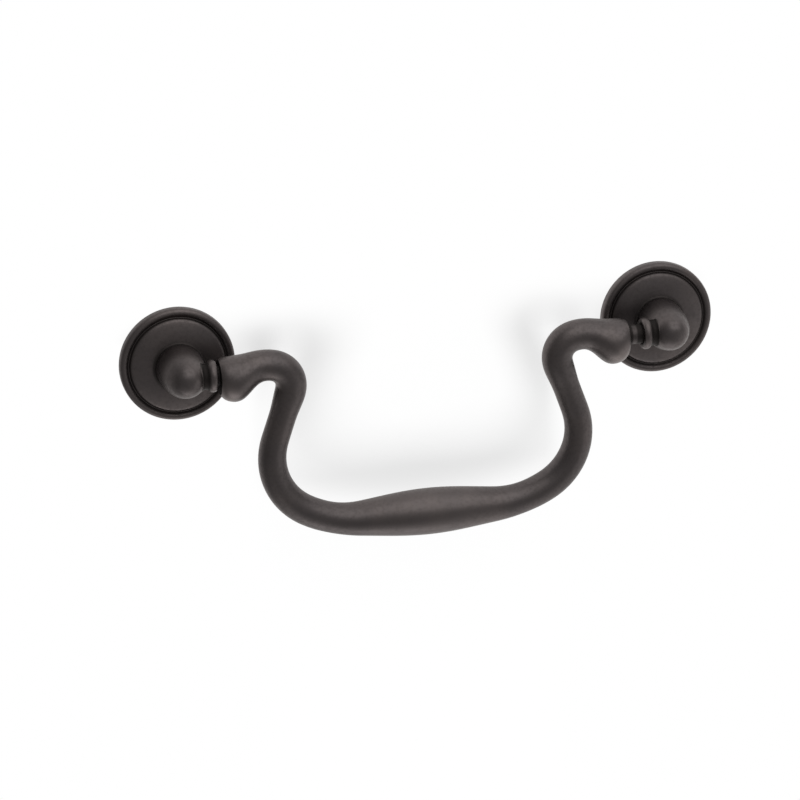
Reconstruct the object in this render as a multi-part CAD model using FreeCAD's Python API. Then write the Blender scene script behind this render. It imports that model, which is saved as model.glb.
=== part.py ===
# Bail pull for a drawer: two cast posts and a swan-necked bail that swings between them.
#
# Frame: the origin is on the drawer front, midway between the two fixing holes.
# X runs to the right along the pivot line, Z is up, and the front of the pull faces -Y.
# The bail hangs down at rest. All lengths are millimetres and all angles are degrees.

import FreeCAD, Part
import os
from math import asin, cos, degrees, radians, sin, sqrt, tan

V = FreeCAD.Vector
ORIGIN = V(0, 0, 0)
X_AXIS = V(1, 0, 0)
Y_AXIS = V(0, 1, 0)
Z_AXIS = V(0, 0, 1)

# Fixing
SCREW_SPACING = 96.0        # between the two fixing holes
TAP_HOLE_R = 1.65           # tapping size for an M4 screw
TAP_HOLE_DEPTH = 7.0        # full wall, before the drill point
TAP_MOUTH_CHAMFER = 0.4
DRILL_POINT = 118.0         # included angle of the drill's cone

# Rosette
ROSETTE_R = 11.25
ROSETTE_BACK_CHAMFER = 0.35
RIM_HEIGHT = 2.5            # top of the rim bead above the drawer front
RIM_BEAD_R = 0.8
GROOVE_HEIGHT = 1.85        # floor of the groove inside the rim bead
GROOVE_FLOOR_WIDTH = 0.26
FIELD_SLOPE = 10.0          # rise of the field towards the stem
FIELD_TOP_HEIGHT = 3.55     # where the field would meet the stem
SHOULDER_R = 0.8            # rounding of the field where it drops into the groove

# Stem with a domed end
STEM_R = 4.05
STEM_FILLET_R = 0.5         # between the field and the stem
PIVOT_HEIGHT = 10.5         # centre of the dome above the drawer front

# Side boss of the post, measured from the centre of the dome towards the bail
NECK_R = 2.5                # bottom of the round groove between the dome and the bead
BEAD_R = 3.12
BEAD_WIDTH = 1.5
BOSS_LENGTH = 5.8           # face of the bead
BORE_DEPTH = 4.5            # full wall, from the face of the bead
BORE_MOUTH_CHAMFER = 0.15

# Pivot pins of the bail
PIN_R = 1.9
PIN_CLEARANCE = 0.06        # on the radius, in the bore
PIN_ENGAGEMENT = 2.6        # length inside the bore when the bail is central
PIN_TIP_CHAMFER = 0.4
SIDE_PLAY = 1.8             # gap between the bail's end face and the bead, when central
BAIL_SHIFT = -1.25          # the bail hangs this far off centre in its side play

# Bail, its centreline from the middle of the bar round to the heel
BAIL_DROP = 32.2            # pivot line down to the middle of the bar
BAR_BEND_R = 22.6
BAR_BEND_ANGLE = 29.2
CORNER_BEND_R = 12.6
ARM_LEAN = 19.3             # the arms lean in by this much from upright
NECK_BEND_R = 4.3
NECK_RISE_ANGLE = 10.0      # direction where the tight bend ends
CREST_BEND_R = 10.9
CREST_HEIGHT = 1.17         # top of the centreline above the pivot line

# Bail, radius of its round section
GRIP_R = 4.55               # middle of the bar
SWELL_LENGTH = 21.0         # the grip's swell fades out over this length of the half bar
ROD_R = 3.0
WAIST_R = 2.64              # thinnest place, on the arm

# Heel of the bail
HEEL_R = 4.5
HEEL_DROP = 1.0             # centre of the largest section below the pivot line
HEEL_FLARE_LENGTH = 5.3     # from the crest to the largest section
HEEL_ROUND_LENGTH = 3.3     # from the largest section to the end face
END_FACE_R = 3.42
END_FACE_DROP = 0.4


# Places that follow from the sizes above
POST_X = SCREW_SPACING / 2
BORE_R = PIN_R + PIN_CLEARANCE
END_FACE_X = POST_X - BOSS_LENGTH - SIDE_PLAY
HEEL_X = END_FACE_X - HEEL_ROUND_LENGTH
CREST_X = HEEL_X - HEEL_FLARE_LENGTH
PIN_TIP_X = POST_X - BOSS_LENGTH + PIN_ENGAGEMENT


def line(a, b):
    """Straight edge between two (u, v) points of a profile."""
    return Part.LineSegment(V(a[0], a[1], 0), V(b[0], b[1], 0)).toShape()


def arc(a, middle, b):
    """Circular edge through three (u, v) points of a profile."""
    return Part.Arc(V(a[0], a[1], 0), V(middle[0], middle[1], 0), V(b[0], b[1], 0)).toShape()


def on_circle(centre, radius, angle):
    """Point of a circle at an angle from the u axis."""
    return centre[0] + radius * cos(radians(angle)), centre[1] + radius * sin(radians(angle))


def bow(centre, radius, start, end):
    """Circular edge of a profile between two angles."""
    return arc(on_circle(centre, radius, start),
               on_circle(centre, radius, (start + end) / 2),
               on_circle(centre, radius, end))


def closed(corners):
    """Straight edges of a closed profile."""
    return [line(a, b) for a, b in zip(corners, corners[1:] + corners[:1])]


def turned(edges, axis):
    """Solid turned about an axis through the origin from a closed profile."""
    return Part.Face(Part.Wire(edges)).revolve(ORIGIN, axis, 360)


def drilled(radius, depth, chamfer):
    """Tool of a drilled hole along +X from the origin, with its drill point and mouth chamfer."""
    point = radius / tan(radians(DRILL_POINT / 2))
    mouth = radius + chamfer
    corners = [(-1, 0), (-1, mouth), (0, mouth), (chamfer, radius), (depth, radius),
               (depth + point, 0)]
    return turned(closed(corners), X_AXIS)


def rosette_and_stem():
    """Post without its side boss, turned about the line of the fixing screw.

    The profile is drawn as (radius, height above the drawer front).
    """
    bead = (ROSETTE_R - RIM_BEAD_R, RIM_HEIGHT - RIM_BEAD_R)
    groove_angle = 180 - degrees(asin((GROOVE_HEIGHT - bead[1]) / RIM_BEAD_R))
    groove = on_circle(bead, RIM_BEAD_R, groove_angle)
    field_r = groove[0] - GROOVE_FLOOR_WIDTH

    def field_height(radius):
        return FIELD_TOP_HEIGHT - (radius - STEM_R) * tan(radians(FIELD_SLOPE))

    # The shoulder touches the upright wall of the groove and the sloping field.
    shoulder_end = 90 - FIELD_SLOPE
    shoulder_x = field_r - SHOULDER_R
    touch_x, touch_y = on_circle((shoulder_x, 0), SHOULDER_R, shoulder_end)
    shoulder = (shoulder_x, field_height(touch_x) - touch_y)

    # The fillet touches the sloping field and the upright stem.
    fillet_x = STEM_R + STEM_FILLET_R
    fillet = (fillet_x, field_height(fillet_x) + STEM_FILLET_R / cos(radians(FIELD_SLOPE)))
    fillet_start = 270 - FIELD_SLOPE
    dome = (0, PIVOT_HEIGHT)

    edges = [
        line((0, 0), (ROSETTE_R - ROSETTE_BACK_CHAMFER, 0)),
        line((ROSETTE_R - ROSETTE_BACK_CHAMFER, 0), (ROSETTE_R, ROSETTE_BACK_CHAMFER)),
        line((ROSETTE_R, ROSETTE_BACK_CHAMFER), (ROSETTE_R, bead[1])),
        bow(bead, RIM_BEAD_R, 0, groove_angle),
        line(groove, (field_r, GROOVE_HEIGHT)),
        line((field_r, GROOVE_HEIGHT), (field_r, shoulder[1])),
        bow(shoulder, SHOULDER_R, 0, shoulder_end),
        line(on_circle(shoulder, SHOULDER_R, shoulder_end), on_circle(fillet, STEM_FILLET_R, fillet_start)),
        bow(fillet, STEM_FILLET_R, fillet_start, 180),
        line((STEM_R, fillet[1]), (STEM_R, PIVOT_HEIGHT)),
        bow(dome, STEM_R, 0, 90),
        line((0, PIVOT_HEIGHT + STEM_R), (0, 0)),
    ]
    post = turned(edges, Y_AXIS)
    post.rotate(ORIGIN, X_AXIS, 180)    # height above the drawer front runs towards -Y
    return post


def side_boss():
    """Grooved neck and bead that carry the bail's pin, turned about the pivot line, pointing to -X."""
    edge_r = (BEAD_R + NECK_R) / 2
    neck_start = sqrt(STEM_R ** 2 - edge_r ** 2)    # on the dome
    bead_start = BOSS_LENGTH - BEAD_WIDTH
    edges = [
        line((0, 0), (0, edge_r)),
        line((0, edge_r), (neck_start, edge_r)),
        arc((neck_start, edge_r), ((neck_start + bead_start) / 2, NECK_R), (bead_start, edge_r)),
        arc((bead_start, edge_r), (bead_start + BEAD_WIDTH / 2, BEAD_R), (BOSS_LENGTH, edge_r)),
        line((BOSS_LENGTH, edge_r), (BOSS_LENGTH, 0)),
        line((BOSS_LENGTH, 0), (0, 0)),
    ]
    boss = turned(edges, X_AXIS)
    boss.rotate(ORIGIN, Y_AXIS, 180)
    boss.translate(V(0, -PIVOT_HEIGHT, 0))
    return boss


def make_post():
    """One post with its fixing hole on the Y axis and its side boss pointing to -X."""
    bore = drilled(BORE_R, BORE_DEPTH, BORE_MOUTH_CHAMFER)
    bore.translate(V(-BOSS_LENGTH, -PIVOT_HEIGHT, 0))
    tap_hole = drilled(TAP_HOLE_R, TAP_HOLE_DEPTH, TAP_MOUTH_CHAMFER)
    tap_hole.rotate(ORIGIN, Z_AXIS, -90)
    return rosette_and_stem().fuse(side_boss()).cut(bore).cut(tap_hole).removeSplitter()


def smooth(share):
    """Even blend from 0 to 1 with no slope at either end."""
    share = min(max(share, 0.0), 1.0)
    return share * share * (3 - 2 * share)


def advance(x, z, direction, length, bend_r):
    """Place and direction after a length of the centreline. A bend_r above zero turns it upwards."""
    if bend_r is None:
        return x + length * cos(radians(direction)), z + length * sin(radians(direction)), direction
    after = direction + degrees(length / bend_r)
    return (x + bend_r * (sin(radians(after)) - sin(radians(direction))),
            z + bend_r * (cos(radians(direction)) - cos(radians(after))),
            after)


def half_runs():
    """Runs of the half centreline, from the middle of the bar to the crest, as (length, bend_r).

    The bar and the arm are straight. Their lengths are what is left over, so that the
    centreline drops by BAIL_DROP and reaches the crest at CREST_X.
    """
    upright = 90 + ARM_LEAN
    lower = [(BAR_BEND_R * radians(BAR_BEND_ANGLE), BAR_BEND_R),
             (CORNER_BEND_R * radians(upright - BAR_BEND_ANGLE), CORNER_BEND_R)]
    upper = [(NECK_BEND_R * radians(upright - NECK_RISE_ANGLE), -NECK_BEND_R),
             (CREST_BEND_R * radians(NECK_RISE_ANGLE), -CREST_BEND_R)]
    x, z, direction = 0.0, 0.0, 0.0
    for length, bend_r in lower + upper:
        x, z, direction = advance(x, z, direction, length, bend_r)
    arm = (BAIL_DROP + CREST_HEIGHT - z) / sin(radians(upright))
    bar = CREST_X - x - arm * cos(radians(upright))
    return [(bar, None)] + lower + [(arm, None)] + upper


def station(runs, distance):
    """Place and direction at a distance along the half centreline."""
    x, z, direction = 0.0, -BAIL_DROP, 0.0
    for length, bend_r in runs:
        x, z, direction = advance(x, z, direction, min(length, distance), bend_r)
        distance -= length
        if distance <= 0:
            break
    return x, z, direction


def in_bail(x, z):
    """Point of the bail's own plane, which hangs below the pivot line."""
    return V(x, -PIVOT_HEIGHT, z)


def bail_spine(runs):
    """Centreline of the whole bail between its two crests."""
    edges = []
    done = 0.0
    for length, bend_r in runs:
        start, middle, end = [in_bail(*station(runs, done + part * length)[:2]) for part in (0, 0.5, 1)]
        if bend_r is None:
            edges.append(Part.LineSegment(start, end).toShape())
        else:
            edges.append(Part.Arc(start, middle, end).toShape())
        done += length
    mirrored = [edge.mirror(ORIGIN, X_AXIS) for edge in edges]
    bar = Part.LineSegment(in_bail(-runs[0][0], -BAIL_DROP), in_bail(runs[0][0], -BAIL_DROP)).toShape()
    return Part.Wire(mirrored[:0:-1] + [bar] + edges[1:])


def section(x, z, direction, radius):
    """Round section across the bail at one place."""
    ring = Part.makeCircle(radius, ORIGIN, X_AXIS)
    ring.rotate(ORIGIN, Y_AXIS, -direction)
    ring.translate(in_bail(x, z))
    return Part.Wire(ring)


def rod_sections(runs):
    """Sections of the right half of the rod, as (x, z, direction, radius).

    The grip swells in the middle of the bar as a squared cosine. The rod then thins to its
    waist, half way up the arm, and is back at full thickness where the neck bends over.
    """
    corner_start = runs[0][0] + runs[1][0]
    arm_start = corner_start + runs[2][0]
    waist = arm_start + runs[3][0] / 2
    neck_start = arm_start + runs[3][0]
    neck_end = neck_start + runs[4][0]
    crest = neck_end + runs[5][0]

    def radius_at(distance):
        if distance < SWELL_LENGTH:
            return ROD_R + (GRIP_R - ROD_R) * cos(radians(90 * distance / SWELL_LENGTH)) ** 2
        if distance < waist:
            return ROD_R + (WAIST_R - ROD_R) * smooth((distance - SWELL_LENGTH) / (waist - SWELL_LENGTH))
        return WAIST_R + (ROD_R - WAIST_R) * smooth((distance - waist) / (neck_start - waist))

    places = [SWELL_LENGTH * quarter / 4 for quarter in range(5)]
    places += [(corner_start + arm_start) / 2, arm_start, waist, neck_start]
    places += [(neck_start + neck_end) / 2, neck_end, crest]
    return [(*station(runs, place), radius_at(place)) for place in places]


def make_rod(runs):
    """Rod of the bail between its two crests: round sections carried along the centreline."""
    right = rod_sections(runs)
    left = [(-x, z, -direction, radius) for x, z, direction, radius in right[:0:-1]]
    sweep = Part.BRepOffsetAPI.MakePipeShell(bail_spine(runs))
    sweep.setFrenetMode(False)
    for place in left + right:
        sweep.add(section(*place), False, False)
    sweep.build()
    sweep.makeSolid()
    return sweep.shape()


def make_heel():
    """Right heel: upright round sections that flare down from the crest and round off to the end face."""
    rings = []
    flare_steps = 8
    for step in range(flare_steps):
        share = step / flare_steps
        rings.append((CREST_X + share * HEEL_FLARE_LENGTH,
                      CREST_HEIGHT - smooth(share) * (CREST_HEIGHT + HEEL_DROP),
                      ROD_R + smooth(share) * (HEEL_R - ROD_R)))
    round_steps = 6
    for step in range(round_steps + 1):
        angle = radians(90 * step / round_steps)
        rings.append((HEEL_X + HEEL_ROUND_LENGTH * sin(angle),
                      -END_FACE_DROP - (HEEL_DROP - END_FACE_DROP) * cos(angle),
                      END_FACE_R + (HEEL_R - END_FACE_R) * cos(angle)))
    return Part.makeLoft([section(x, z, 0, radius) for x, z, radius in rings], True, False)


def pivot_pin():
    """Pin at the right end of the bail, rooted inside the heel, with a chamfered tip."""
    chamfer_x = PIN_TIP_X - PIN_TIP_CHAMFER
    corners = [(HEEL_X, 0), (HEEL_X, PIN_R), (chamfer_x, PIN_R),
               (PIN_TIP_X, PIN_R - PIN_TIP_CHAMFER), (PIN_TIP_X, 0)]
    pin = turned(closed(corners), X_AXIS)
    pin.translate(in_bail(0, 0))
    return pin


def make_bail():
    """Bail in one piece: the rod, a heel and a pin at each end."""
    runs = half_runs()
    ends = [make_heel(), pivot_pin()]
    ends += [end.mirror(ORIGIN, X_AXIS) for end in ends]
    bail = make_rod(runs).fuse(ends).removeSplitter()
    bail.translate(V(BAIL_SHIFT, 0, 0))
    return bail


right_post = make_post()
right_post.translate(V(POST_X, 0, 0))
left_post = make_post()
left_post.rotate(ORIGIN, Y_AXIS, 180)
left_post.translate(V(-POST_X, 0, 0))

parts = {
    "left_post": left_post,
    "right_post": right_post,
    "bail": make_bail(),
}

os.makedirs("parts", exist_ok=True)
for name, shape in parts.items():
    shape.exportStep("parts/" + name + ".step")
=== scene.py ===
"""Bail pull in dark rubbed bronze: two cast posts and a swan-necked bail on a pale wall.

All sizes in the classes are millimetres and degrees, and meshes are written in metres.
X runs along the pivot line, Z is up, and the front of the pull faces -Y. The wall that the
pull is screwed to is the plane y = 0.
"""

import logging
from dataclasses import dataclass, field
from enum import Enum

import bpy
import numpy as np
from mathutils import Matrix, Vector
from numpy.typing import NDArray


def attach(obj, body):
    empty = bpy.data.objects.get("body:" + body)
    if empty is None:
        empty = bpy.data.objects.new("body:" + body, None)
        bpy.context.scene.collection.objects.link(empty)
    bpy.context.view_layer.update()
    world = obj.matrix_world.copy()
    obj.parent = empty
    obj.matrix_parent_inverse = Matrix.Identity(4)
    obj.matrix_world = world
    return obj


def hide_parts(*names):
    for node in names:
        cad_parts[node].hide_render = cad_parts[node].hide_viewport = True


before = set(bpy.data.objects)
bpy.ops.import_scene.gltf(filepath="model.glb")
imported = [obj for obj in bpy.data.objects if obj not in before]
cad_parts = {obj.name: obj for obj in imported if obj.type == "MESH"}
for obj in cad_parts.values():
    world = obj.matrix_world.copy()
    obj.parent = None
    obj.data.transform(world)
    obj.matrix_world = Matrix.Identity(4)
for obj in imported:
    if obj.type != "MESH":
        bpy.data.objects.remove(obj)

Array = NDArray[np.float64]
Colour = tuple[float, float, float]
Span = tuple[float, float]

MM = 0.001
PHOTO_SIDE = 800

# Degrees between two points of an arc, and the distance at which two points are one.
ARC_STEP = 2.0
SAME_POINT = 1e-7

# Distance between the samples from which the bend of a profile is worked out.
BEND_SPACING = 0.05

log = logging.getLogger("bail_pull")


class Attribute(Enum):
    """Names of the values that a mesh carries for its finish: wear with painted highlight, and painted
    shade.
    """

    WEAR_AND_HIGHLIGHT = "wear_and_highlight"
    PAINTED_SHADE = "painted_shade"


class Side(Enum):
    """Which end of the pull a piece stands at. The value is the sign of its x."""

    LEFT = -1
    RIGHT = 1


# Profiles and paths


def arc_points(centre: Span, radius: float, start: float, end: float) -> Array:
    """Points of a circular arc: centre + radius * (cos a, sin a), a fixed angle apart.

    Args:
        centre: Centre of the circle as (u, v).
        radius: Radius of the circle.
        start: Angle of the first point from the u axis, in degrees.
        end: Angle of the last point, in degrees.

    Returns:
        The points as an (n, 2) array.
    """
    count = max(int(np.ceil(abs(end - start) / ARC_STEP)) + 1, 3)
    angle = np.radians(np.linspace(start, end, count))
    u = centre[0] + radius * np.cos(angle)
    v = centre[1] + radius * np.sin(angle)
    return np.stack([u, v], axis=1)


def bow_points(a: Span, middle: Span, b: Span) -> Array:
    """Points of the circular arc from one point through a second to a third.

    The centre c is as far from all three: 2 (m - a) . c = m.m - a.a, and the same for b.

    Args:
        a: First point as (u, v).
        middle: Point that the arc passes through.
        b: Last point.

    Returns:
        The points as an (n, 2) array.
    """
    start, way, stop = (np.array(point, dtype=float) for point in (a, middle, b))
    centre = np.linalg.solve(2 * np.array([way - start, stop - start]),
                             [way @ way - start @ start, stop @ stop - start @ start])
    angles = np.unwrap([np.arctan2(*(point - centre)[::-1]) for point in (start, way, stop)])
    radius = float(np.linalg.norm(start - centre))
    return arc_points(tuple(centre), radius, *np.degrees(angles[[0, -1]]))


def chain(*runs: object) -> Array:
    """Joins points and runs of points into one line, without repeated points.

    Args:
        runs: Single (u, v) points or (n, 2) arrays, in order.

    Returns:
        The line as an (n, k) array.
    """
    line = np.concatenate([np.atleast_2d(np.asarray(run, dtype=float)) for run in runs])
    step = np.linalg.norm(np.diff(line, axis=0), axis=1)
    return line[np.concatenate([[True], step > SAME_POINT])]


def lengths(line: Array) -> Array:
    """Distance of each point of a line from its start, measured along the line."""
    return np.concatenate([[0.0], np.cumsum(np.linalg.norm(np.diff(line, axis=0), axis=1))])


def sampled(line: Array, distance: Array, wanted: Array) -> Array:
    """Points of a line at the wanted distances, by straight interpolation in each column."""
    return np.stack([np.interp(wanted, distance, column) for column in line.T], axis=1)


def bell(reach: float, spacing: float, half: int) -> Array:
    """Weights exp(-d^2 / (2 reach^2)) at even distances either side of 0, which add up to 1.

    Args:
        reach: Standard deviation of the weights.
        spacing: Distance between two weights.
        half: Number of weights on either side.

    Returns:
        The 2 * half + 1 weights.
    """
    offset = np.arange(-half, half + 1) * spacing
    weight = np.exp(-0.5 * (offset / reach) ** 2)
    return weight / weight.sum()


def softened(line: Array, reach: float, spacing: float) -> Array:
    """Rounds the corners of a line by averaging it with a bell of weights.

    The line is sampled evenly, carried on past its ends as its own point reflection, and
    averaged over four standard deviations each way, so its two ends stay where they are.

    Args:
        line: The line as an (n, k) array.
        reach: Standard deviation of the weight, which is about the radius of a rounded corner.
        spacing: Distance between samples.

    Returns:
        The rounded line as an (m, k) array.
    """
    distance = lengths(line)
    wanted = np.linspace(0.0, distance[-1], int(distance[-1] / spacing) + 2)
    even = sampled(line, distance, wanted)
    pad = min(int(np.ceil(4 * reach / spacing)), len(even) - 1)
    before = 2 * even[0] - even[pad:0:-1]
    after = 2 * even[-1] - even[-2:-pad - 2:-1]
    padded = np.concatenate([before, even, after])
    weight = bell(reach, spacing, pad)
    return np.stack([np.convolve(column, weight, mode="valid") for column in padded.T], axis=1)


def turning(line: Array) -> Array:
    """Angle by which a line turns at each of its points: arccos of its two directions' product.

    Args:
        line: The line as an (n, k) array.

    Returns:
        The n angles in degrees, which are 0 at the two ends.
    """
    step = np.diff(line, axis=0)
    step /= np.linalg.norm(step, axis=1, keepdims=True)
    cosine = np.clip((step[1:] * step[:-1]).sum(axis=1), -1.0, 1.0)
    return np.concatenate([[0.0], np.degrees(np.arccos(cosine)), [0.0]])


def respaced(line: Array, longest: float, turn: float) -> Array:
    """Samples a line closely where it turns and sparsely where it is straight.

    Points are even in the running sum of length / longest + turning / turn, with the
    turning averaged over three neighbours.

    Args:
        line: The line as an (n, k) array.
        longest: Greatest distance between two points.
        turn: Greatest turn in degrees between two points.

    Returns:
        The sampled line.
    """
    distance = lengths(line)
    angle = turning(line)
    angle = np.convolve(angle, np.ones(3) / 3, mode="same")
    measure = distance / longest + np.cumsum(angle) / turn
    wanted = np.linspace(0.0, measure[-1], int(np.ceil(measure[-1])) + 1)
    return sampled(line, distance, np.interp(wanted, measure, distance))


def profile_bend(line: Array, reach: float) -> Array:
    """Signed curvature of a profile, averaged over a reach, in 1 / millimetre.

    It is the change of the profile's direction over its length: positive to the left. The
    average goes three standard deviations each way.

    Args:
        line: Profile as an (n, 2) array.
        reach: Standard deviation of the averaging weight.

    Returns:
        The curvature at each point.
    """
    distance = lengths(line)
    heading = np.unwrap(np.arctan2(*np.gradient(line, distance, axis=0).T[::-1]))
    even = np.linspace(0.0, distance[-1], max(int(distance[-1] / BEND_SPACING), 8))
    bend = np.gradient(np.interp(even, distance, heading), even)
    half = int(np.ceil(3 * reach / BEND_SPACING))
    weight = bell(reach, BEND_SPACING, half)
    bend = np.convolve(np.pad(bend, half, mode="edge"), weight, mode="valid")
    return np.interp(distance, even, bend)


# Meshes


@dataclass
class Shell:
    """A closed surface: rings of points from one pole to the other, with values for its finish.

    An attribute has one value for each ring or one for each point of each ring.
    """

    rings: Array
    poles: Array
    values: dict[Attribute, Array]

    def corners(self, first: int) -> tuple[Array, Array]:
        """Faces of the shell: a fan at each pole and four-sided faces between the rings.

        The sum of a . (b x c) over its triangles is six times the volume, and negative where
        the faces point inwards, so they are then turned round.

        Args:
            first: Number of the shell's first vertex in the mesh.

        Returns:
            The fans and the four-sided faces as arrays of vertex numbers, all turned outwards.
        """
        count, around = self.rings.shape[:2]
        index = first + np.arange(count * around).reshape(count, around)
        following = np.roll(index, -1, axis=1)
        quads = np.stack([index[:-1], following[:-1], following[1:], index[1:]], axis=-1)
        quads = quads.reshape(-1, 4)
        start = np.full(around, first + count * around)
        fans = np.concatenate([
            np.stack([start, following[0], index[0]], axis=-1),
            np.stack([start + 1, index[-1], following[-1]], axis=-1),
        ])
        points = self.points()
        triangles = np.concatenate([fans, quads[:, :3], quads[:, [0, 2, 3]]]) - first
        a, b, c = points[triangles].transpose(1, 0, 2)
        if np.einsum("ij,ij->", a, np.cross(b, c)) < 0:
            fans, quads = fans[:, ::-1], quads[:, ::-1]
        return fans, quads

    def points(self) -> Array:
        """All points of the shell: the rings in order, then its two poles."""
        return np.concatenate([self.rings.reshape(-1, 3), self.poles])

    def spread(self, name: Attribute) -> Array:
        """One value per point of the shell. A pole takes the mean of its nearest ring.

        Args:
            name: The attribute.

        Returns:
            Its values in the order of the points, and 0 throughout where it has none.
        """
        values = self.values.get(name, np.zeros(len(self.rings)))
        over = np.broadcast_to(values.reshape(len(values), -1), self.rings.shape[:2])
        return np.concatenate([over.ravel(), over[[0, -1]].mean(axis=1)])


def shell_mesh(name: str, shells: list[Shell]) -> bpy.types.Object:
    """Writes closed shells in millimetres into one smooth mesh object in metres at the origin.

    Args:
        name: Name of the object.
        shells: The closed shells.

    Returns:
        The new object, linked to the scene.
    """
    points = np.concatenate([shell.points() for shell in shells])
    first = np.cumsum([0] + [len(shell.points()) for shell in shells[:-1]])
    faces = [shell.corners(int(start)) for shell, start in zip(shells, first)]
    triangles = np.concatenate([fans for fans, _ in faces])
    quads = np.concatenate([quads for _, quads in faces])
    sizes = np.concatenate([np.full(len(triangles), 3), np.full(len(quads), 4)])
    loops = np.concatenate([triangles.ravel(), quads.ravel()])
    mesh = bpy.data.meshes.new(name)
    mesh.vertices.add(len(points))
    mesh.vertices.foreach_set("co", (points * MM).astype(np.float32).ravel())
    mesh.loops.add(len(loops))
    mesh.loops.foreach_set("vertex_index", loops.astype(np.int32))
    mesh.polygons.add(len(sizes))
    starts = np.concatenate([[0], np.cumsum(sizes)[:-1]])
    mesh.polygons.foreach_set("loop_start", starts.astype(np.int32))
    mesh.polygons.foreach_set("use_smooth", np.ones(len(sizes), dtype=bool))
    for attribute in Attribute:
        layer = mesh.attributes.new(attribute.value, "FLOAT", "POINT")
        values = np.concatenate([shell.spread(attribute) for shell in shells])
        layer.data.foreach_set("value", values.astype(np.float32))
    mesh.update(calc_edges=True)
    mesh.validate()
    piece = bpy.data.objects.new(name, mesh)
    bpy.context.scene.collection.objects.link(piece)
    return piece


# Finishes


class NodeSheet:
    """A material's or world's node tree, with short calls that add and join nodes."""

    def __init__(self, tree: bpy.types.NodeTree) -> None:
        """Starts an empty tree."""
        self.tree = tree
        tree.nodes.clear()

    def add(self, kind: str, inputs: dict[str | int, object] | None = None,
            **settings: object) -> bpy.types.Node:
        """Adds a node.

        Args:
            kind: Type name of the node.
            inputs: Value or output socket for each input, by its name or number.
            settings: Properties of the node.

        Returns:
            The new node.
        """
        node = self.tree.nodes.new(kind)
        for name, value in settings.items():
            setattr(node, name, value)
        for name, value in (inputs or {}).items():
            if isinstance(value, bpy.types.NodeSocket):
                self.tree.links.new(value, node.inputs[name])
            else:
                node.inputs[name].default_value = value
        return node

    def math(self, operation: str, *values: object, clamp: bool = False) -> bpy.types.NodeSocket:
        """Output of a Math node over values or sockets."""
        node = self.add("ShaderNodeMath", dict(enumerate(values)), operation=operation, use_clamp=clamp)
        return node.outputs[0]

    def noise(self, vector: bpy.types.NodeSocket, size: float, detail: float = 3.0,
              roughness: float = 0.5) -> bpy.types.NodeSocket:
        """Noise value between 0 and 1 whose features are about a size in millimetres."""
        node = self.add("ShaderNodeTexNoise", {
            "Vector": vector, "Scale": 1.0 / (size * MM), "Detail": detail, "Roughness": roughness})
        return node.outputs["Fac"]

    def mix(self, factor: object, first: object, second: object) -> bpy.types.NodeSocket:
        """Mixes two colours by a factor.

        Args:
            factor: Share of the second colour, as a number or a socket.
            first: Colour or socket.
            second: Colour or socket.

        Returns:
            The socket of the mixed colour.
        """
        node = self.add("ShaderNodeMix", data_type="RGBA")
        sockets = (node.inputs[0], node.inputs[6], node.inputs[7])
        for socket, value in zip(sockets, (factor, first, second)):
            if isinstance(value, bpy.types.NodeSocket):
                self.tree.links.new(value, socket)
            else:
                socket.default_value = value if isinstance(value, float) else (*value, 1.0)
        return node.outputs[2]

    def ramp(self, value: object, low: float, high: float, to_low: float = 0.0,
             to_high: float = 1.0) -> bpy.types.NodeSocket:
        """Value carried smoothly from one range to another and held at its ends."""
        node = self.add("ShaderNodeMapRange", {
            "Value": value, "From Min": low, "From Max": high, "To Min": to_low, "To Max": to_high},
            interpolation_type="SMOOTHSTEP")
        return node.outputs[0]


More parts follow.
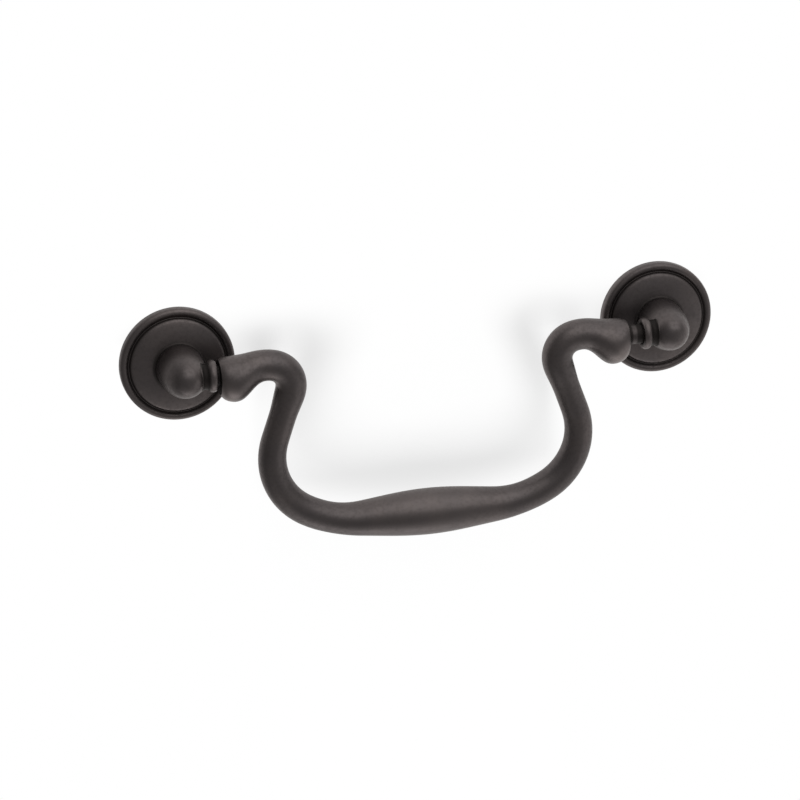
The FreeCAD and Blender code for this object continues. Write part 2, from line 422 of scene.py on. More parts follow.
@dataclass(frozen=True)
class RubbedBronze:
    """Dark patinated bronze with a satin sheen, lighter with wear where hands and cloths reach.

    It also carries painted shade in grooves, recesses and on the bail's pins, and a painted
    highlight on the lower lips of the bail's heels.

    Sizes and heights are millimetres. A span of clouds or flecks is the part of a noise's
    range, from 0 to 1, over which it goes from doing nothing to doing most.
    """

    name: str = "dark_rubbed_bronze"
    patina: Colour = (0.098, 0.086, 0.085)
    patina_warm: Colour = (0.116, 0.100, 0.097)
    # Colour of the painted shade. The patina's dark specks take it too.
    painted_shade: Colour = (0.024, 0.021, 0.020)
    # Lighter tone of real wear, and of the painted highlight on the heels' lower lips.
    worn_and_lit_tone: Colour = (0.165, 0.142, 0.136)
    tint: Colour = (1.0, 0.98, 0.97)
    cloud_size: float = 9.0
    cloud_span: Span = (0.36, 0.66)
    fleck_size: float = 0.7
    speck_span: Span = (0.40, 0.72)
    speck_most: float = 0.18
    wear_span: Span = (0.30, 0.62)
    wear_least: float = 0.45
    roughness: float = 0.41
    roughness_span: Span = (0.3, 0.7)
    roughness_spread: Span = (-0.03, 0.05)
    worn_and_lit_roughness: float = -0.06
    painted_shade_roughness: float = 0.18
    wave_size: float = 3.2
    wave_height: float = 0.05
    wave_strength: float = 0.07
    grain_size: float = 0.16
    grain_height: float = 0.012
    grain_strength: float = 0.12

    def material(self) -> bpy.types.Material:
        """Builds the finish: patina in clouds and flecks, painted shade, wear and painted highlight,
        fine grain.

        Returns:
            The material.
        """
        made = bpy.data.materials.new(self.name)
        made.use_nodes = True
        sheet = NodeSheet(made.node_tree)
        place = sheet.add("ShaderNodeTexCoord").outputs["Object"]
        clouds = sheet.noise(place, self.cloud_size, detail=4.0)
        flecks = sheet.noise(place, self.fleck_size, detail=3.0, roughness=0.6)
        grain = sheet.noise(place, self.grain_size, detail=2.0)
        wear_and_highlight = sheet.add("ShaderNodeAttribute", attribute_name=Attribute.WEAR_AND_HIGHLIGHT.value).outputs["Fac"]
        painted_shade = sheet.add("ShaderNodeAttribute", attribute_name=Attribute.PAINTED_SHADE.value).outputs["Fac"]

        patchy = sheet.ramp(clouds, *self.cloud_span)
        colour = sheet.mix(patchy, self.patina, self.patina_warm)
        speck = sheet.ramp(flecks, *self.speck_span, 0.0, self.speck_most)
        colour = sheet.mix(speck, colour, self.painted_shade)
        bared = sheet.ramp(flecks, *self.wear_span, self.wear_least, 1.0)
        # Wear lightens the colour, and on the heels' lower lips the same lightening is a painted
        # highlight.
        worn_and_lit = sheet.math("MULTIPLY", wear_and_highlight, bared, clamp=True)
        colour = sheet.mix(worn_and_lit, colour, self.worn_and_lit_tone)
        # Painted shade: darkens grooves, the stem's cove, the necks, the bores' mouths and the pins.
        colour = sheet.mix(painted_shade, colour, self.painted_shade)

        sheen = sheet.ramp(flecks, *self.roughness_span,
                           *(self.roughness + change for change in self.roughness_spread))
        sheen = sheet.math("MULTIPLY_ADD", worn_and_lit, self.worn_and_lit_roughness, sheen)
        sheen = sheet.math("MULTIPLY_ADD", painted_shade, self.painted_shade_roughness, sheen, clamp=True)

        waves = sheet.add("ShaderNodeBump", {
            "Strength": self.wave_strength, "Distance": self.wave_height * MM,
            "Height": sheet.noise(place, self.wave_size, detail=2.0)})
        fine = sheet.add("ShaderNodeBump", {
            "Strength": self.grain_strength, "Distance": self.grain_height * MM,
            "Height": grain, "Normal": waves.outputs[0]})
        shader = sheet.add("ShaderNodeBsdfPrincipled", {
            "Base Color": colour, "Metallic": 1.0, "Roughness": sheen,
            "Specular Tint": (*self.tint, 1.0), "Normal": fine.outputs[0]})
        sheet.add("ShaderNodeOutputMaterial", {"Surface": shader.outputs[0]})
        return made


@dataclass(frozen=True)
class PaleWall:
    """White wall that keeps a soft shadow inside the loop of the bail and is clear from behind.

    Places on the wall are (x, z) in millimetres. The shares are those of the shadow behind
    the bar, the arms and the necks.
    """

    name: str = "pale_wall"
    albedo: float = 0.2
    ambient: float = 0.58
    mirrored: Span = (0.42, 1.00)
    mirrored_x: Span = (-80.0, -35.0)
    shadow_shares: tuple[float, float, float] = (0.24, 0.55, 0.19)
    arms_z: Span = (-24.5, -5.2)
    necks_x: Span = (26.2, 36.7)
    loop_middle: float = -1.9
    loop_half: Span = (30.1, 60.2)
    widening_z: Span = (-4.9, 7.6)
    side_softness: float = 2.9
    top_z: Span = (11.2, -2.5)

    def shadow_share(self, sheet: NodeSheet, x: bpy.types.NodeSocket,
                     z: bpy.types.NodeSocket) -> bpy.types.NodeSocket:
        """How much of the wall's white takes shadows, at each place.

        It fades to 0 at both sides of the loop, further out at the height of the necks, and
        above them. Inside, it goes up from the bar's share to the arms' and outwards to the
        necks'.

        Args:
            sheet: Node tree that the nodes are added to.
            x: Place along the wall in metres.
            z: Height on the wall in metres.

        Returns:
            The share.
        """
        across = sheet.math("ABSOLUTE", sheet.math("SUBTRACT", x, self.loop_middle * MM))
        half = sheet.ramp(z, *(place * MM for place in self.widening_z),
                          *(reach * MM for reach in self.loop_half))
        inside = sheet.ramp(sheet.math("SUBTRACT", half, across),
                            -self.side_softness * MM, self.side_softness * MM)
        inside = sheet.math("MULTIPLY", inside, sheet.ramp(z, *(place * MM for place in self.top_z)))
        bar, arms, necks = self.shadow_shares
        share = sheet.ramp(z, *(place * MM for place in self.arms_z), bar, arms)
        cut = sheet.ramp(across, *(place * MM for place in self.necks_x), 1.0, necks / arms)
        return sheet.math("MULTIPLY", inside, sheet.math("MULTIPLY", share, cut))

    def material(self) -> bpy.types.Material:
        """Builds the wall: light of strength 1 for seen and mirrored rays, mixed with matt grey.

        Mirrored light fades towards the left part of the wall. Rays from behind pass through.

        Returns:
            The material.
        """
        made = bpy.data.materials.new(self.name)
        made.use_nodes = True
        made.cycles.emission_sampling = "NONE"
        sheet = NodeSheet(made.node_tree)
        path = sheet.add("ShaderNodeLightPath").outputs
        seen = sheet.math("MAXIMUM", path["Is Camera Ray"], path["Is Glossy Ray"])
        seen = sheet.math("MAXIMUM", seen, path["Is Transmission Ray"])
        place = sheet.add("ShaderNodeTexCoord").outputs["Object"]
        x, _, z = sheet.add("ShaderNodeSeparateXYZ", {0: place}).outputs
        fall = sheet.ramp(x, *(edge * MM for edge in self.mirrored_x), *self.mirrored)
        level = sheet.math("MAXIMUM", fall, path["Is Camera Ray"])
        matt = self.shadow_share(sheet, x, z)
        glowing = sheet.math("MULTIPLY", seen, sheet.math("SUBTRACT", 1.0, matt))
        white = sheet.add("ShaderNodeEmission", {"Color": (1.0, 1.0, 1.0, 1.0), "Strength": level})
        plain = sheet.add("ShaderNodeBsdfDiffuse", {"Color": (self.albedo,) * 3 + (1.0,)})
        face = sheet.add("ShaderNodeMixShader", {0: glowing, 1: plain.outputs[0], 2: white.outputs[0]})
        clear = sheet.add("ShaderNodeBsdfTransparent")
        behind = sheet.add("ShaderNodeNewGeometry").outputs["Backfacing"]
        both = sheet.add("ShaderNodeMixShader", {0: behind, 1: face.outputs[0], 2: clear.outputs[0]})
        sheet.add("ShaderNodeOutputMaterial", {"Surface": both.outputs[0]})
        return made


# Posts


@dataclass
class Post:
    """One post, cast in one piece: rosette, domed stem and the side boss that takes the pin.

    The last fields, from bend_reach on, are those of its finish: wear on convex bends, and painted
    shade in the groove by the rim, in the cove at the stem's foot, in the neck beside the bead and
    at the mouth of the bore. A bend is a curvature in 1 / millimetre, and a fade is the distance
    over which a painted shade ends.
    """

    side: Side
    centre_x: float = 48.0
    rosette_r: float = 11.25
    back_chamfer: float = 0.35
    rim_height: float = 2.5
    rim_bead_r: float = 0.8
    groove_height: float = 1.85
    groove_floor: float = 0.26
    field_slope: float = 10.0
    field_top_height: float = 3.55
    shoulder_r: float = 0.8
    stem_r: float = 4.05
    stem_base_r: float = 4.6
    stem_fullness: float = 2.6
    stem_fillet_r: float = 0.5
    pivot_height: float = 10.5
    neck_r: float = 2.5
    bead_r: float = 3.12
    bead_width: float = 1.5
    boss_length: float = 5.8
    bore_r: float = 1.96
    bore_depth: float = 4.5
    bore_chamfer: float = 0.15
    tap_r: float = 1.65
    tap_depth: float = 7.0
    tap_chamfer: float = 0.4
    thread_pitch: float = 0.7
    thread_depth: float = 0.35
    thread_crest: float = 1.25
    thread_flank: float = 3.2
    thread_margin: float = 0.3
    thread_fade: float = 0.7
    drill_point: float = 118.0
    field_bow: float = 0.12
    boss_root: float = 1.2
    edge_softness: float = 0.23
    boss_softness: float = 0.06
    spacing: float = 0.02
    longest: float = 0.45
    turn: float = 5.0
    dome_points: int = 61
    hole_mouth: float = 0.35
    hole_spacing: float = 0.06
    around: int = 160
    bend_reach: float = 0.3
    rub_bend: float = 0.9
    rub_range: float = 4.0
    rub_most: float = 0.3
    shade_bend: float = 0.4
    shade_most: float = 0.75
    foot_margin: float = 2.0
    groove_shade: float = 0.34
    groove_half: float = 0.38
    groove_depth: float = 0.3
    neck_shade_middle: float = 0.75
    neck_shade_half: float = 0.99
    neck_fade: float = 0.45
    bore_margin: float = 0.5
    bore_fade: float = 0.3

    def hole(self, radius: float, depth: float, chamfer: float) -> Array:
        """Profile of a drilled hole as (radius, depth), from its drill point out to its mouth."""
        point = radius / np.tan(np.radians(self.drill_point / 2))
        return chain((0.0, depth + point), (radius, depth), (radius, chamfer), (radius + chamfer, 0.0))

    def turned_profile(self) -> Array:
        """Profile of rosette and domed stem as (radius, height above the wall).

        It runs from the drill point of the screw hole, over the back and the rim bead, down
        into the groove, up the sloping field and the stem, and over the dome to its top. The
        field is bowed a little between its ends. Stem and dome are one superellipse,
        (r / base radius)^n + (height above the fillet / its full height)^n = 1.

        Returns:
            The profile as an (n, 2) array.
        """
        bead = (self.rosette_r - self.rim_bead_r, self.rim_height - self.rim_bead_r)
        groove_angle = 180 - np.degrees(np.arcsin((self.groove_height - bead[1]) / self.rim_bead_r))
        rim = arc_points(bead, self.rim_bead_r, 0, groove_angle)
        field_r = rim[-1, 0] - self.groove_floor
        slope = np.radians(self.field_slope)
        reach = self.shoulder_r * np.array([np.sin(slope), np.cos(slope)])
        touch_r = field_r - self.shoulder_r + reach[0]
        touch_height = self.field_top_height - (touch_r - self.stem_r) * np.tan(slope)
        shoulder = (field_r - self.shoulder_r, touch_height - reach[1])
        fillet_r = self.stem_base_r + self.stem_fillet_r
        fillet = (fillet_r, self.field_top_height - (fillet_r - self.stem_r) * np.tan(slope)
                  + self.stem_fillet_r / np.cos(slope))
        turn = np.radians(np.linspace(0.0, 90.0, self.dome_points))
        way = np.stack([np.cos(turn), np.sin(turn)], axis=1) ** (2 / self.stem_fullness)
        top = self.pivot_height + self.stem_r
        dome = way * [self.stem_base_r, top - fillet[1]] + [0.0, fillet[1]]
        dome[-1, 0] = 0.0
        edge = arc_points(shoulder, self.shoulder_r, 0, 90 - self.field_slope)
        cove = arc_points(fillet, self.stem_fillet_r, 270 - self.field_slope, 180)
        bowed = (edge[-1] + cove[0]) / 2 + self.field_bow * np.array([np.sin(slope), np.cos(slope)])
        return chain(
            self.hole(self.tap_r, self.tap_depth, self.tap_chamfer),
            (self.rosette_r - self.back_chamfer, 0.0),
            (self.rosette_r, self.back_chamfer),
            rim,
            (field_r, self.groove_height),
            edge,
            bow_points(edge[-1], bowed, cove[0]),
            cove,
            dome,
        )

    def boss_profile(self) -> Array:
        """Profile of the side boss as (radius, distance from the stem's axis along the pivot line).

        It starts inside the stem, leaves the dome, dips through the round groove of the neck,
        rises over the bead and goes back in through the bore.

        Returns:
            The profile as an (n, 2) array.
        """
        edge_r = (self.bead_r + self.neck_r) / 2
        start = float(np.sqrt(self.stem_r ** 2 - edge_r ** 2))
        bead = self.boss_length - self.bead_width
        bore = self.hole(self.bore_r, self.bore_depth, self.bore_chamfer)[::-1]
        end = (edge_r, self.boss_length)
        return chain(
            (0.0, start - self.boss_root),
            (edge_r, start - self.boss_root),
            bow_points((edge_r, start), (self.neck_r, (start + bead) / 2), (edge_r, bead)),
            bow_points((edge_r, bead), (self.bead_r, bead + self.bead_width / 2), end),
            np.stack([bore[:, 0], self.boss_length - bore[:, 1]], axis=1),
        )

    def finish_values(self, profile: Array) -> dict[Attribute, Array]:
        """How much wear and how much painted shade each point of a profile shows.

        Convex bends of the profile show wear, and concave ones near the foot of the stem get painted
        shade, each in step with its averaged curvature. The open groove near the rim gets painted
        shade by a bell across its width instead: exp(-(distance from its middle / half)^2).

        Args:
            profile: Profile as (radius, height), with the metal on its left.

        Returns:
            A value from 0 to 1 at each point for each attribute.
        """
        bend = profile_bend(profile, self.bend_reach)
        radius, height = profile.T
        # Painted shade: in concave bends near the stem's foot, and by a bell across the groove by the
        # rim.
        most = np.where(radius > self.stem_base_r + self.foot_margin, 0.0, self.shade_most)
        middle = self.rosette_r - 2 * self.rim_bead_r - self.groove_floor / 2
        groove = np.exp(-((radius - middle) / self.groove_half) ** 2)
        groove *= height > self.groove_height - self.groove_depth
        wear_and_highlight = np.clip((bend - self.rub_bend) / self.rub_range, 0.0, self.rub_most)
        painted_shade = np.clip(-bend - self.shade_bend, 0.0, most)
        return {Attribute.WEAR_AND_HIGHLIGHT: wear_and_highlight, Attribute.PAINTED_SHADE: painted_shade + self.groove_shade * groove}

    def on_hole_wall(self, profile: Array) -> NDArray[np.bool_]:
        """Which points of a profile lie on the straight wall of the fixing hole."""
        radius, height = profile.T
        return (np.abs(radius - self.tap_r) < self.spacing) & (height < self.tap_depth)

    def rings(self, profile: Array, threaded: bool) -> Array:
        """Carries a profile round its axis: (r cos a, height, r sin a) for each angle a.

        A thread adds to r a saw that rises and falls once a pitch and climbs one pitch a turn:
        crest - flank * |share of the pitch - 1/2|, held between 0 and 1. It fades out before
        the hole's end.

        Args:
            profile: Profile as (radius, height), without its two poles.
            threaded: Whether the wall of the fixing hole gets its thread.

        Returns:
            Rings as an (n, around, 3) array of (across, height, across).
        """
        angle = np.linspace(0.0, 2 * np.pi, self.around, endpoint=False)
        radius = np.repeat(profile[:, :1], self.around, axis=1)
        height = np.repeat(profile[:, 1:], self.around, axis=1)
        if threaded:
            left = self.tap_depth - self.thread_margin - profile[:, 1]
            fade = np.clip(left / self.thread_fade, 0, 1) * self.on_hole_wall(profile)
            turn = (height / self.thread_pitch - angle / (2 * np.pi)) % 1.0
            saw = np.clip(self.thread_crest - np.abs(turn - 0.5) * self.thread_flank, 0.0, 1.0)
            radius = radius + self.thread_depth * fade[:, None] * saw
        return np.stack([radius * np.cos(angle), height, radius * np.sin(angle)], axis=-1)

    def shell(self, profile: Array, softness: float, threaded: bool = False) -> Shell:
        """Closed shell from a profile whose first and last points lie on its axis.

        Args:
            profile: Profile as (radius, height).
            softness: About the radius to which its corners are rounded.
            threaded: Whether it has the fixing hole, whose wall then gets rings close enough
                for its thread.

        Returns:
            The shell, standing on the origin.
        """
        line = respaced(softened(profile, softness, self.spacing), self.longest, self.turn)
        if threaded:
            radius, height = line.T
            inside = (height < self.tap_depth) & (radius < self.tap_r + self.spacing)
            first, last = np.flatnonzero(inside)[[0, -1]]
            wall = np.arange(self.hole_mouth, self.tap_depth, self.hole_spacing)[::-1]
            hole = np.stack([np.full(len(wall), self.tap_r), wall], axis=1)
            line = np.concatenate([line[:first], hole, line[last + 1:]])
        values = {name: value[1:-1] for name, value in self.finish_values(line).items()}
        poles = np.stack([np.zeros(2), line[[0, -1], 1], np.zeros(2)], axis=1)
        return Shell(self.rings(line[1:-1], threaded), poles, values)

    def build(self, material: bpy.types.Material) -> bpy.types.Object:
        """Makes the post and stands it in place of its plain node.

        The neck beside the bead and the mouth of the bore get painted shade, and nothing else of
        the boss does.

        Args:
            material: Finish of the casting.

        Returns:
            The post's object.
        """
        name = "right_post" if self.side is Side.RIGHT else "left_post"
        sign = float(self.side.value)
        place = np.array([sign * self.centre_x, 0.0, 0.0])
        turned = self.shell(self.turned_profile(), self.edge_softness, threaded=True)
        turned.rings = turned.rings * [sign, -1.0, sign] + place
        turned.poles = turned.poles * [sign, -1.0, sign] + place
        boss = self.shell(self.boss_profile(), self.boss_softness)
        radius = np.hypot(boss.rings[:, 0, 0], boss.rings[:, 0, 2])
        out = boss.rings[:, 0, 1]
        # Painted shade in the neck's groove beside the bead and at the mouth of the bore.
        off_neck = np.abs(out - self.boss_length + self.bead_width + self.neck_shade_middle)
        in_neck = np.clip((self.neck_shade_half - off_neck) / self.neck_fade, 0, 1)
        in_bore = np.clip((self.bore_r + self.bore_margin - radius) / self.bore_fade, 0, 1)
        boss.values[Attribute.PAINTED_SHADE] = np.maximum(in_neck, in_bore)
        pivot = place + [0.0, -self.pivot_height, 0.0]
        across, out, other = np.moveaxis(boss.rings, -1, 0)
        boss.rings = np.stack([-sign * out, across, other], axis=-1) + pivot
        boss.poles = np.stack([-sign * boss.poles[:, 1], np.zeros(2), np.zeros(2)], axis=1) + pivot
        piece = shell_mesh(f"{name}_casting", [turned, boss])
        piece.data.materials.append(material)
        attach(piece, "posts")
        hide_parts(name)
        log.info("%s: %d faces", piece.name, len(piece.data.polygons))
        return piece


# Bail


@dataclass
class Bail:
    """The bail in one piece: swelled grip, swan necks, flared heels and a pin at each end.

    The last fields, from grip_wear on, are those of its finish: wear at the grip, a painted
    highlight on the lower lips of the heels, given for the left and the right, and painted shade
    on the heels' end faces and on the pins, but for a lighter ring on each.
    """

    pivot_height: float = 10.5
    shift: float = -1.25
    drop: float = 32.2
    bar_bend_r: float = 22.6
    bar_bend_angle: float = 29.2
    corner_bend_r: float = 12.6
    arm_lean: float = 19.3
    neck_bend_r: float = 4.3
    neck_rise: float = 10.0
    crest_bend_r: float = 10.9
    crest_height: float = 1.17
    crest_x: float = 31.8
    grip_r: float = 4.55
    swell_length: float = 21.0
    rod_r: float = 3.0
    waist_r: float = 2.64
    heel_r: float = 4.5
    heel_drop: float = 1.0
    heel_flare: float = 5.3
    heel_round: float = 3.3
    end_face_r: float = 3.42
    end_face_drop: float = 0.4
    pin_r: float = 1.9
    pin_tip_x: float = 44.8
    pin_chamfer: float = 0.4
    flow: float = 0.8
    edge_softness: float = 0.10
    rod_stations: int = 2400
    heel_stations: int = 160
    flow_spacing: float = 0.05
    spacing: float = 0.03
    longest: float = 0.5
    pin_longest: float = 0.15
    turn: float = 3.5
    around: int = 112
    grip_wear: float = 0.22
    grip_wear_half: float = 14.0
    grip_top_z: float = -20.0
    lip_highlight: Span = (1.0, 2.2)
    lip_share: float = 0.55
    lip_half: float = 1.6
    lip_turn: float = 17.19
    face_margin: float = 0.02
    pin_ring: Span = (1.2, 1.5)
    pin_ring_edge: float = 2.4
    pin_shade: Span = (0.42, 0.95)

    def runs(self) -> tuple[Array, Array]:
        """Ends and directions of the half centreline's arcs and lines, from the bar to the crest.

        The straight bar and arm take what length is left over, so that the line drops by
        drop and ends at the crest.

        Returns:
            Distance at each joint of two runs, and the direction there in radians.
        """
        upright = 90 + self.arm_lean
        heading = np.radians([0, 0, self.bar_bend_angle, upright, upright, self.neck_rise, 0])
        radius = np.array([np.inf, self.bar_bend_r, self.corner_bend_r, np.inf,
                           -self.neck_bend_r, -self.crest_bend_r])
        bent = np.isfinite(radius)
        size = np.zeros(6)
        size[bent] = radius[bent] * np.diff(heading)[bent]
        rise = (radius[bent] * (np.cos(heading[:-1]) - np.cos(heading[1:]))[bent]).sum()
        reach = (radius[bent] * (np.sin(heading[1:]) - np.sin(heading[:-1]))[bent]).sum()
        size[3] = (self.drop + self.crest_height - rise) / np.sin(heading[3])
        size[0] = self.crest_x - reach - size[3] * np.cos(heading[3])
        return np.concatenate([[0.0], np.cumsum(size)]), heading

    def rod(self) -> Array:
        """Half of the rod as (x, z, tilt, radius), from the middle of the bar to the crest.

        The direction is straight between the ends of the runs, so each run is a line or an
        arc. The place is the running sum of (cos, sin) of the direction. The radius swells
        in the middle as a squared cosine, thins to the waist half way up the arm and is full
        again at the neck.

        Returns:
            The stations as an (n, 4) array.
        """
        joints, heading = self.runs()
        distance = np.linspace(0.0, joints[-1], self.rod_stations)
        tilt = np.interp(distance, joints, heading)
        step = np.diff(distance)[:, None]
        way = np.stack([np.cos(tilt), np.sin(tilt)], axis=1)
        ahead = np.cumsum((way[1:] + way[:-1]) / 2 * step, axis=0)
        place = np.concatenate([np.zeros((1, 2)), ahead])
        waist = (joints[3] + joints[4]) / 2
        swell = np.cos(np.pi / 2 * np.clip(distance / self.swell_length, 0, 1)) ** 2
        thin = np.interp(distance, [self.swell_length, waist, joints[4]], [0.0, 1.0, 0.0])
        thin = thin ** 2 * (3 - 2 * thin)
        radius = self.rod_r + (self.grip_r - self.rod_r) * swell - (self.rod_r - self.waist_r) * thin
        return np.stack([place[:, 0], place[:, 1] - self.drop, tilt, radius], axis=1)

    def heel(self) -> Array:
        """Heel as (x, z, tilt, radius): a smooth flare downwards, then a quarter ellipse to its end.

        The flare eases by 3 s^2 - 2 s^3 for the share s of its length.

        Returns:
            The stations as an (n, 4) array, from the crest to the end face.
        """
        share = np.linspace(0.0, 1.0, self.heel_stations)
        ease = share ** 2 * (3 - 2 * share)
        heel_x = self.crest_x + self.heel_flare
        flare = np.stack([self.crest_x + share * self.heel_flare,
                          self.crest_height - ease * (self.crest_height + self.heel_drop),
                          np.zeros_like(share),
                          self.rod_r + ease * (self.heel_r - self.rod_r)], axis=1)
        angle = share * np.pi / 2
        lower, wider = self.heel_drop - self.end_face_drop, self.heel_r - self.end_face_r
        rounding = np.stack([heel_x + self.heel_round * np.sin(angle),
                             -self.end_face_drop - lower * np.cos(angle),
                             np.zeros_like(share),
                             self.end_face_r + wider * np.cos(angle)], axis=1)
        return np.concatenate([flare, rounding[1:]])

    def half(self) -> Array:
        """Half of the whole bail as (x, z, tilt, radius), from the middle of the bar to the pin's tip.

        Rod and heel are mirrored and softened along their length, so that they flow into each
        other, and the pin is added sharp.

        Returns:
            The stations as an (n, 4) array.
        """
        rod, heel = self.rod(), self.heel()
        body = np.concatenate([rod, heel[1:]])
        whole = np.concatenate([body[:0:-1] * [-1, 1, -1, 1], body])
        whole = softened(whole, self.flow, self.flow_spacing)
        body = whole[whole[:, 0] >= 0]
        body[0, [0, 2]] = 0.0
        tip = self.pin_tip_x
        pin = np.array([(heel[-1, 0], 0.0, 0.0, self.pin_r),
                        (tip - self.pin_chamfer, 0.0, 0.0, self.pin_r),
                        (tip, 0.0, 0.0, self.pin_r - self.pin_chamfer),
                        (tip, 0.0, 0.0, 0.0)])
        return np.concatenate([body, pin])

    def finish_values(self, x: Array, z: Array, angle: Array) -> dict[Attribute, Array]:
        """How much wear, painted highlight and painted shade each point of each ring shows.

        The grip shows wear by a bell over x, and the heels' lips a painted highlight by a bell over
        x times the sine of the angle below the pivot line, turned a little. Past the end face the
        metal gets painted shade, in step with the distance to the light ring on the pin.

        Args:
            x: Place of each ring along the bail.
            z: Height of each ring.
            angle: Angle of each point round its ring, from the front, in radians.

        Returns:
            A value at each point of each ring, or at each ring, for each attribute.
        """
        grip = np.exp(-(x / self.grip_wear_half) ** 2) * (z < self.grip_top_z)
        past_flare = np.abs(x) - self.crest_x - self.heel_flare
        past = past_flare - self.heel_round
        # Painted highlight on the lower side of each heel's lip, stronger on the right heel.
        lip = np.exp(-((past_flare - self.heel_round * self.lip_share) / self.lip_half) ** 2)
        lip *= (past < -self.face_margin) * np.where(x < 0, *self.lip_highlight)
        below = np.clip(-np.sin(angle - np.radians(self.lip_turn)), 0.0, 1.0)
        # Painted shade on the heels' end faces and on the pins, lighter in a ring on each pin.
        ring_start, ring_end = self.pin_ring
        off_ring = np.maximum(ring_start - past, past - ring_end)
        dark = np.clip(self.pin_ring_edge * off_ring, *self.pin_shade)
        return {Attribute.WEAR_AND_HIGHLIGHT: self.grip_wear * grip[:, None] + np.outer(lip, below),
                Attribute.PAINTED_SHADE: (past > -self.face_margin) * dark}

    def build(self, material: bpy.types.Material) -> bpy.types.Object:
        """Makes the bail and stands it in place of its plain node.

        Each station carries a ring: centre + radius * (cos a * across + sin a * upward), where
        upward is square to the centreline in the bail's own plane.

        Args:
            material: Finish of the bail.

        Returns:
            The bail's object.
        """
        line = softened(self.half(), self.edge_softness, self.spacing)
        on_pin = line[:, 0] > self.crest_x + self.heel_flare + self.heel_round
        half = np.concatenate([respaced(line[~on_pin], self.longest, self.turn),
                               respaced(line[on_pin], self.pin_longest, self.turn)])
        stations = np.concatenate([half[:0:-1] * [-1, 1, -1, 1], half])
        x, z, tilt, radius = stations[1:-1].T
        angle = np.linspace(0.0, 2 * np.pi, self.around, endpoint=False)
        up = radius[:, None] * np.sin(angle)
        rings = np.stack([x[:, None] - np.sin(tilt)[:, None] * up + self.shift,
                          -radius[:, None] * np.cos(angle) - self.pivot_height,
                          z[:, None] + np.cos(tilt)[:, None] * up], axis=-1)
        ends = stations[[0, -1]]
        poles = np.stack([ends[:, 0] + self.shift, np.full(2, -self.pivot_height), ends[:, 1]], axis=1)
        shell = Shell(rings, poles, self.finish_values(x, z, angle))
        piece = shell_mesh("bail_forging", [shell])
        piece.data.materials.append(material)
        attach(piece, "bail")
        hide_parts("bail")
        log.info("%s: %d faces", piece.name, len(piece.data.polygons))
        return piece


# Wall, light and camera


def toward(azimuth: float, elevation: float) -> Vector:
    """Direction from the pull. Azimuth 0 is in front and positive is to the right."""
    a, e = np.radians([azimuth, elevation])
    return Vector((np.sin(a) * np.cos(e), -np.cos(a) * np.cos(e), np.sin(e)))


@dataclass(frozen=True)
class Glow:
    """A broad soft patch of light around one direction: even inside, and faded out at its edge.

    Inner and outer are the angles from its middle to where it starts and stops fading.
    """

    azimuth: float
    elevation: float
    inner: float
    outer: float
    level: float

    def strength(self, sheet: NodeSheet, way: bpy.types.NodeSocket) -> bpy.types.NodeSocket:
        """Strength of the patch in the direction that a socket gives.

        It eases from 0 to its level as the cosine to its middle goes from cos(outer) to cos(inner).

        Args:
            sheet: Node tree that the nodes are added to.
            way: Direction from the pull.

        Returns:
            The strength.
        """
        middle = toward(self.azimuth, self.elevation)
        dot = sheet.add("ShaderNodeVectorMath", {0: way, 1: middle}, operation="DOT_PRODUCT")
        edge, full = np.cos(np.radians([self.outer, self.inner]))
        return sheet.ramp(dot.outputs["Value"], float(edge), float(full), 0.0, self.level)


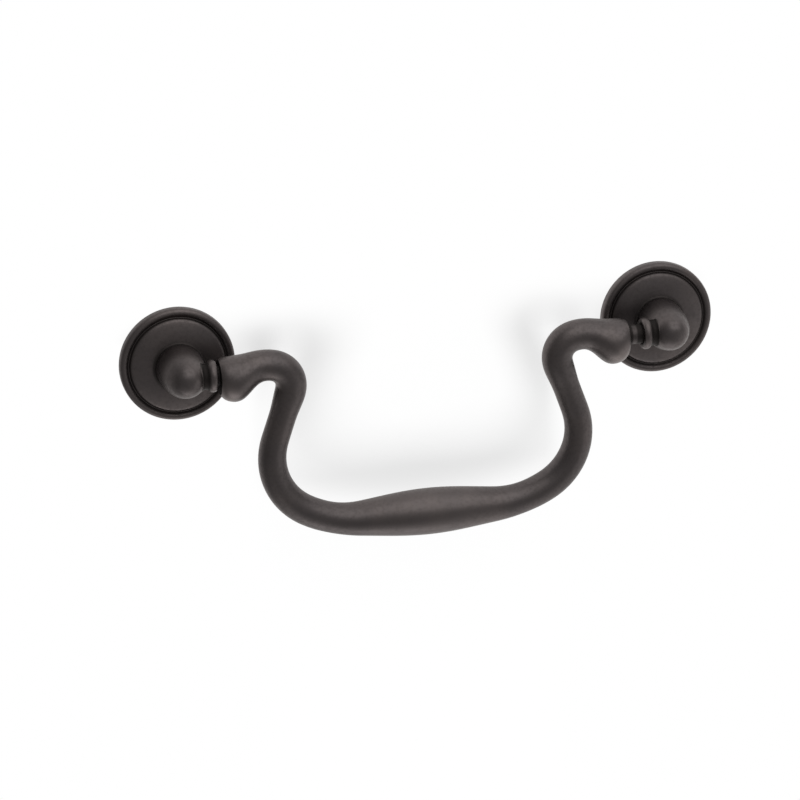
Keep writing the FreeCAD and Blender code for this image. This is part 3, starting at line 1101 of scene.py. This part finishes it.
@dataclass
class Studio:
    """Wall behind the pull, the light around it, the shadow's lamps and the camera.

    The surrounding light goes from one level to the other over surround_x, which is the
    share of its direction along X. A lamp that casts the shadow is (azimuth, elevation, share
    of the light).
    """

    wall_half: float = 900.0
    surround: Span = (0.21, 0.30)
    surround_x: Span = (-1.08, -0.60)
    glows: tuple[Glow, ...] = (
        Glow(azimuth=27.0, elevation=54.0, inner=22.0, outer=44.0, level=1.17),
        Glow(azimuth=-15.0, elevation=-68.0, inner=18.0, outer=37.0, level=0.40),
        Glow(azimuth=10.0, elevation=-87.0, inner=6.0, outer=28.0, level=1.20),
        Glow(azimuth=70.0, elevation=-32.0, inner=6.0, outer=51.0, level=0.60),
        Glow(azimuth=10.0, elevation=8.0, inner=0.0, outer=24.0, level=0.14),
    )
    shadow_from: tuple[tuple[float, float, float], ...] = ((-37.0, -23.0, 0.53), (23.0, -23.0, 0.47))
    shadow_softness: float = 36.0
    azimuth: float = 13.039
    elevation: float = 19.544
    roll: float = -1.366
    camera_distance: float = 733.67
    focal_pixels: float = 3787.25
    sensor_width: float = 36.0
    clip: Span = (50.0, 20000.0)
    aim: tuple[float, float, float] = (-5.781, -8.0, -9.572)
    wall: PaleWall = field(default_factory=PaleWall)

    def build_wall(self) -> bpy.types.Object:
        """Makes the flat wall that the pull is fixed to, facing the camera.

        Returns:
            The wall's object.
        """
        s = self.wall_half * MM
        mesh = bpy.data.meshes.new("wall")
        mesh.from_pydata([(-s, 0, -s), (s, 0, -s), (s, 0, s), (-s, 0, s)], [], [(0, 1, 2, 3)])
        mesh.materials.append(self.wall.material())
        wall = bpy.data.objects.new("wall", mesh)
        bpy.context.scene.collection.objects.link(wall)
        return wall

    def build_surround(self) -> None:
        """Surrounding light: white where the camera sees it, soft glows on a dim level elsewhere."""
        world = bpy.data.worlds.new("surround")
        world.use_nodes = True
        sheet = NodeSheet(world.node_tree)
        path = sheet.add("ShaderNodeLightPath").outputs
        way = sheet.add("ShaderNodeTexCoord").outputs["Generated"]
        across = sheet.add("ShaderNodeSeparateXYZ", {0: way}).outputs[0]
        level = sheet.ramp(across, *self.surround_x, *self.surround)
        for glow in self.glows:
            level = sheet.math("ADD", level, glow.strength(sheet, way))
        strength = sheet.math("MAXIMUM", level, path["Is Camera Ray"])
        white = (1.0, 1.0, 1.0, 1.0)
        light = sheet.add("ShaderNodeBackground", {"Color": white, "Strength": strength})
        sheet.add("ShaderNodeOutputWorld", {"Surface": light.outputs[0]})
        bpy.context.scene.world = world

    def build_shadow_lamps(self, lit: bpy.types.Collection) -> None:
        """Distant lamps that light the wall alone and cast the bail's shadow inside its loop.

        Together with the surrounding light they bring the matt wall to the same white as the
        wall's own light: the sum of strength * cos(angle to the wall) * albedo / pi is
        1 - albedo * ambient.

        Args:
            lit: The wall.
        """
        for number, (azimuth, elevation, share) in enumerate(self.shadow_from):
            aimed = toward(azimuth, elevation)
            data = bpy.data.lights.new(f"wall_lamp_{number}", "SUN")
            data.energy = share * np.pi * (1 / self.wall.albedo - self.wall.ambient) / -aimed.y
            data.angle = np.radians(self.shadow_softness)
            lamp = bpy.data.objects.new(data.name, data)
            lamp.rotation_mode = "QUATERNION"
            lamp.rotation_quaternion = aimed.to_track_quat("Z", "Y")
            bpy.context.scene.collection.objects.link(lamp)
            lamp.light_linking.receiver_collection = lit

    def build_camera(self) -> None:
        """Camera at the photograph's viewing angle, turned a little about its own axis."""
        a, e, roll = np.radians([self.azimuth, self.elevation, self.roll])
        forward = np.array([np.sin(a) * np.cos(e), np.cos(a) * np.cos(e), -np.sin(e)])
        level = np.array([np.cos(a), -np.sin(a), 0.0])
        up = np.cross(level, forward)
        right = np.cos(roll) * level + np.sin(roll) * up
        above = np.cross(right, forward)
        data = bpy.data.cameras.new("camera")
        data.sensor_width = self.sensor_width
        data.lens = self.focal_pixels * self.sensor_width / PHOTO_SIDE
        data.clip_start, data.clip_end = (place * MM for place in self.clip)
        camera = bpy.data.objects.new("camera", data)
        bpy.context.scene.collection.objects.link(camera)
        turn = Matrix(np.stack([right, above, -forward], axis=1).tolist()).to_4x4()
        at = (np.array(self.aim) - self.camera_distance * forward) * MM
        camera.matrix_world = Matrix.Translation(Vector(at.tolist())) @ turn
        bpy.context.scene.camera = camera

    def build(self) -> None:
        """Makes the wall, the light and the camera around the pull."""
        on_wall = bpy.data.collections.new("lit_wall")
        on_wall.objects.link(self.build_wall())
        self.build_surround()
        self.build_shadow_lamps(on_wall)
        self.build_camera()
        bpy.context.scene.view_settings.view_transform = "Standard"
        log.info("studio: %d glows, %d wall lamps", len(self.glows), len(self.shadow_from))


def main() -> None:
    """Builds the pull piece by piece, then its studio."""
    logging.basicConfig(level=logging.INFO, format="%(name)s %(message)s")
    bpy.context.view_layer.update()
    bronze = RubbedBronze().material()
    for side in Side:
        Post(side).build(bronze)
    Bail().build(bronze)
    Studio().build()


if __name__ == "__main__":
    main()
